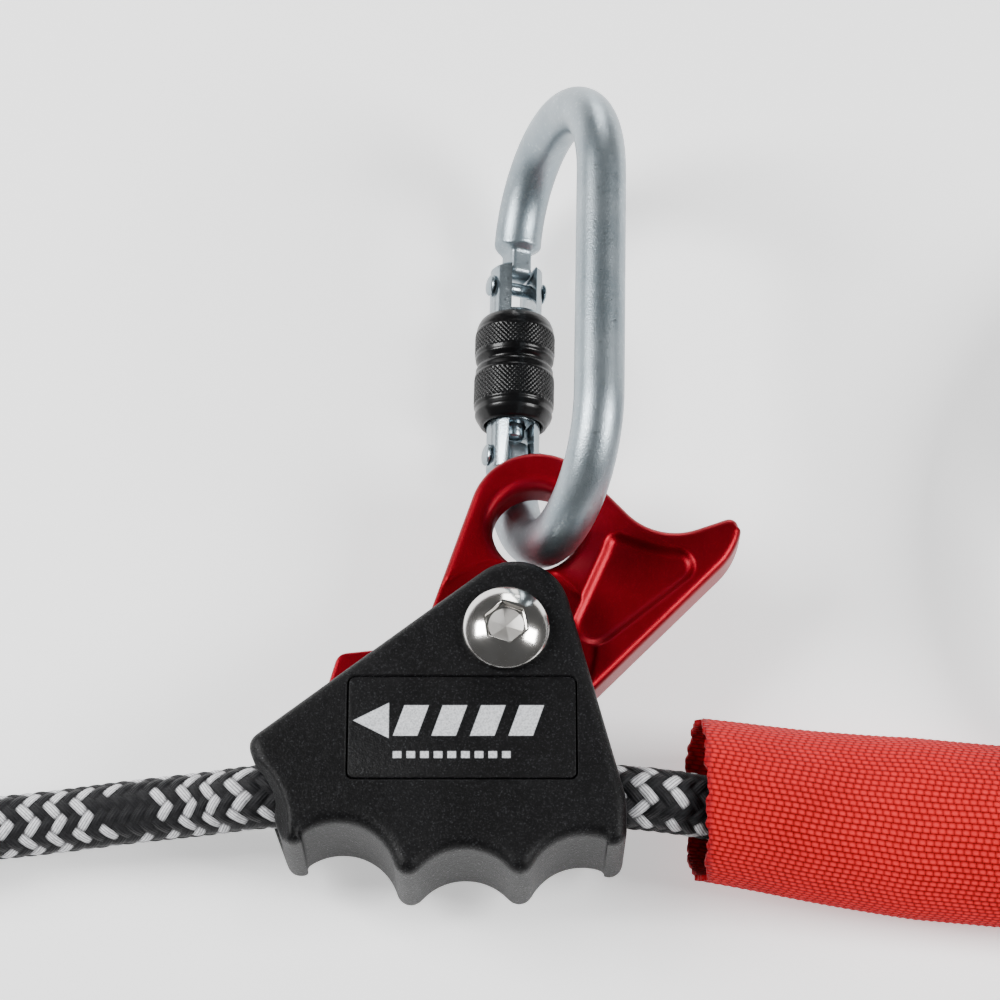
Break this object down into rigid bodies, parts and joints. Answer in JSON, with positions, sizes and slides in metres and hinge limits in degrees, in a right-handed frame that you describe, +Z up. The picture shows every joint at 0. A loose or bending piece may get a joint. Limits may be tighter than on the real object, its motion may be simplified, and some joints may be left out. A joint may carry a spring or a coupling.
{
  "type": "rope grab",
  "caption": "Adjustable rope grab with a toothed cam lever, an oval screw-gate karabiner, and a coiled braided lanyard with a webbing protector.",
  "frame": {"origin": "on the cam pivot axis, at the flat outer face of the rear bolt head, which is what the part lies on", "axes": "+Z up, from the rear bolt head to the front button head; +Y from the pivot towards the karabiner; +X along the rope towards the webbing protector"},
  "size_m": [0.5539, 0.2172, 0.0617],
  "materials": {
    "powder_coat": "fine black powder coat with a sparkle",
    "label": "black printed plate",
    "red_anodised": "bead-blasted, anodised dark red",
    "zinc_plate": "zinc-plated steel, satin",
    "stainless": "polished stainless steel",
    "black_steel": "black satin steel, knurled",
    "bronze": "plain bearing bronze",
    "spring_steel": "spring wire",
    "nylon": "black nylon",
    "rope_sheath": "black braid with light tracer yarns",
    "red_webbing": "bright red woven webbing"
  },
  "bodies": {
    "grab": {"housing": "powder_coat", "label_plate": "label", "pivot_bolt": "stainless", "pivot_screw": "stainless", "rear_washer": "bronze", "front_washer": "bronze", "cam_spring": "spring_steel", "rope_tail": "rope_sheath", "tail_stop": "nylon", "rope_lead": "rope_sheath", "rope_coil": "rope_sheath", "coil_tie": "nylon", "rope_end": "rope_sheath", "splice_cover": "nylon", "eye_loop": "rope_sheath", "thimble": "nylon"},
    "cam_lever": {"cam": "red_anodised", "cam_bushing": "bronze"},
    "karabiner": {"karabiner_body": "zinc_plate", "gate_rivet": "zinc_plate"},
    "gate": {"karabiner_gate": "zinc_plate", "latch_pin": "zinc_plate", "gate_spring": "spring_steel"},
    "plunger": {"spring_plunger": "zinc_plate"},
    "screw_sleeve": {"lock_sleeve": "black_steel"},
    "protector": {"web_protector": "red_webbing"}
  },
  "joints": [
    {"name": "cam_swing", "type": "hinge", "parent": "grab", "child": "cam_lever", "pos_m": [0, 0, 0.02305], "axis": [0, 0, -1], "range_deg": [0, 26], "stiffness_Nm_per_rad": 0.15, "springref_deg": -20.05},
    {"name": "karabiner_swing", "type": "hinge", "parent": "cam_lever", "child": "karabiner", "pos_m": [0.0066, 0.0277, 0.02305], "axis": [0, 0, 1], "range_deg": [-47, 60]},
    {"name": "gate_swing", "type": "hinge", "parent": "karabiner", "child": "gate", "pos_m": [0.00159, 0.0518, 0.00934], "axis": [0.9289, -0.0195, -0.3697], "range_deg": [0, 26], "stiffness_Nm_per_rad": 0.08, "springref_deg": -17.19},
    {"name": "plunger_slide", "type": "slide", "parent": "gate", "child": "plunger", "axis": [0.0209, 0.9998, 0], "range_m": [0, 0.00095]},
    {"name": "sleeve_travel", "type": "slide", "parent": "gate", "child": "screw_sleeve", "axis": [0.0209, 0.9998, 0], "range_m": [0, 0.0125]},
    {"name": "protector_slide", "type": "slide", "parent": "grab", "child": "protector", "axis": [1, 0, 0], "range_m": [-0.006, 0.004]}
  ],
  "couplings": [
    {"joint": "plunger_slide", "follows": "gate_swing", "m_per_rad": 0.002}
  ]
}
